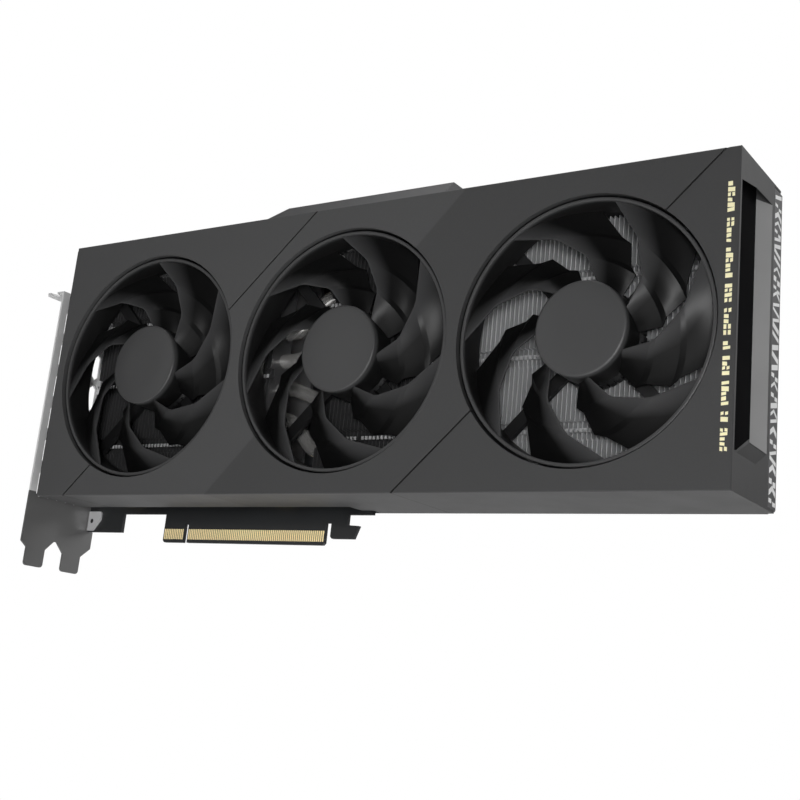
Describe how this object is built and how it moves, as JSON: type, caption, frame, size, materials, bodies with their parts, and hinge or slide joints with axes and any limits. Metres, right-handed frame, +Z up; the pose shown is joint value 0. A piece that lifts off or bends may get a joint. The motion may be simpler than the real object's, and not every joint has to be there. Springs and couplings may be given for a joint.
{
  "type": "graphics card",
  "caption": "Dual-slot desktop graphics card: black shroud with faceted fans, finned heatsink with heat pipes, slot connector board, metal bracket and vented backplate.",
  "frame": {"origin": "centre of the key notch at the lower edge of the slot connector, mid board thickness", "axes": "+X along the card away from its bracket, +Y from the fans towards the backplate, +Z up from the slot"},
  "size_m": [0.3185, 0.042, 0.145],
  "materials": {
    "shroud_plastic": "fine matte black coating",
    "gloss_black": "polished black",
    "guard_metal": "satin dark grey",
    "trim_plastic": "satin dark grey",
    "backplate_metal": "matte black powder coat",
    "board": "black solder mask",
    "gold": "gold plated",
    "fin_aluminium": "bare stamped fins",
    "pipe_nickel": "nickel plated",
    "copper": "machined copper",
    "package": "laminate",
    "silicon": "polished",
    "chip": "moulded epoxy",
    "pad": "soft grey-blue",
    "plate_aluminium": "die cast",
    "inductor": "pressed ferrite",
    "can": "drawn can",
    "spring_steel": "stamped",
    "screw_steel": "turned",
    "black_screw": "black oxide",
    "standoff_brass": "turned",
    "socket_plastic": "moulded",
    "socket_steel": "tin plated shell",
    "bracket_steel": "nickel plated, satin",
    "lead_rubber": "sleeved lead",
    "rotor_plastic": "smooth black moulding",
    "frame_plastic": "glass filled moulding",
    "magnet": "bonded ferrite with steel yoke",
    "shaft_steel": "ground",
    "bearing_brass": "sintered sleeve",
    "stator_copper": "wound copper on laminations"
  },
  "bodies": {
    "card": {"backplate": "backplate_metal", "backplate_screws": "black_screw", "base_plate": "plate_aluminium", "board_standoffs": "standoff_brass", "bracket_screws": "screw_steel", "capacitors": "can", "circuit_board": "board", "cold_plate": "copper", "cover_bosses": "shroud_plastic", "displayport_socket_1": "socket_steel", "displayport_socket_2": "socket_steel", "displayport_socket_3": "socket_steel", "edge_contacts": "gold", "end_inlay": "gloss_black", "end_trim": "trim_plastic", "fan_bearing_1": "bearing_brass", "fan_bearing_2": "bearing_brass", "fan_bearing_3": "bearing_brass", "fan_frame_1": "frame_plastic", "fan_frame_2": "frame_plastic", "fan_frame_3": "frame_plastic", "fan_headers": "socket_plastic", "fan_leads": "lead_rubber", "fan_screws": "black_screw", "fan_stator_1": "stator_copper", "fan_stator_2": "stator_copper", "fan_stator_3": "stator_copper", "front_shroud": "shroud_plastic", "gpu_die": "silicon", "gpu_package": "package", "hdmi_socket": "socket_steel", "heat_pipe_1": "pipe_nickel", "heat_pipe_2": "pipe_nickel", "heat_pipe_3": "pipe_nickel", "heat_pipe_4": "pipe_nickel", "io_bracket": "bracket_steel", "left_fin_stack": "fin_aluminium", "memory_chips": "chip", "middle_fin_stack": "fin_aluminium", "power_guard": "guard_metal", "power_inductors": "inductor", "power_pins": "gold", "power_socket": "socket_plastic", "power_transistors": "chip", "retention_screws": "screw_steel", "retention_spring": "spring_steel", "right_fin_stack": "fin_aluminium", "shroud_frame": "shroud_plastic", "socket_tongues": "socket_plastic", "thermal_pads": "pad"},
    "fan_1": {"rotor_1": "rotor_plastic", "rotor_magnet_1": "magnet", "rotor_shaft_1": "shaft_steel"},
    "fan_2": {"rotor_2": "rotor_plastic", "rotor_magnet_2": "magnet", "rotor_shaft_2": "shaft_steel"},
    "fan_3": {"rotor_3": "rotor_plastic", "rotor_magnet_3": "magnet", "rotor_shaft_3": "shaft_steel"}
  },
  "joints": [
    {"name": "fan_1_spin", "type": "hinge", "parent": "card", "child": "fan_1", "pos_m": [-0.00225, -0.03119, 0.0676], "axis": [0, -1, 0], "continuous": true},
    {"name": "fan_2_spin", "type": "hinge", "parent": "card", "child": "fan_2", "pos_m": [0.0961, -0.03119, 0.0676], "axis": [0, -1, 0], "continuous": true},
    {"name": "fan_3_spin", "type": "hinge", "parent": "card", "child": "fan_3", "pos_m": [0.19445, -0.03119, 0.0676], "axis": [0, -1, 0], "continuous": true}
  ]
}
